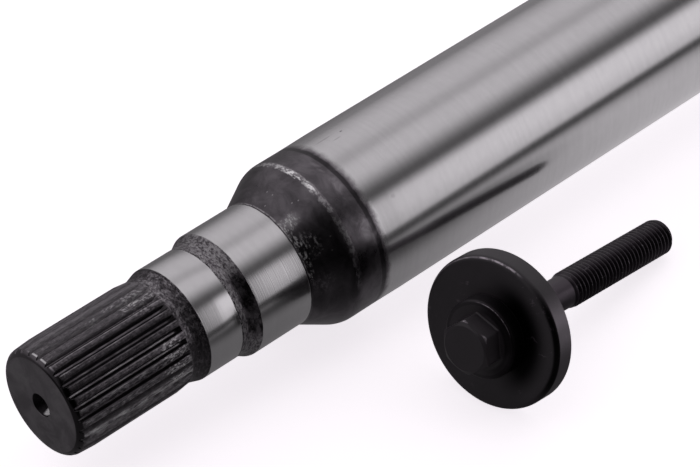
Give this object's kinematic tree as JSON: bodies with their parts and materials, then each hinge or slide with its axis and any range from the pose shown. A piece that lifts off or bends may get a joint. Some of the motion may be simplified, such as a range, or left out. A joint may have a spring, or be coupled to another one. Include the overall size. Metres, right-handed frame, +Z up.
{
  "type": "drive shaft",
  "caption": "Solid steel drive shaft with toothed ends and stepped ground seats, with its bolt and captive washer laid beside it.",
  "frame": {"origin": "centre of the near splined end's face, on the shaft's axis", "axes": "+X along the shaft's axis, from the near face into the shaft; +Z up from the surface that it lies on, 23.3 mm below the axis; +Y away from the loose bolt"},
  "size_m": [0.48, 0.1, 0.0466],
  "materials": {
    "ground_steel": "ground bright on the body and seats, left black from forging on the cones, dark and oiled on the teeth",
    "black_phosphate": "black phosphate, lightly oiled, chipped bright along the washer's edge"
  },
  "bodies": {
    "shaft_and_bolt": {"drive_shaft": "ground_steel", "retaining_bolt": "black_phosphate"},
    "washer": {"captive_washer": "black_phosphate"}
  },
  "joints": [
    {"name": "washer_spin", "type": "hinge", "parent": "shaft_and_bolt", "child": "washer", "pos_m": [0.1026, -0.05585, -0.00248], "axis": [0.9679, 0.1103, -0.2258], "continuous": true}
  ]
}
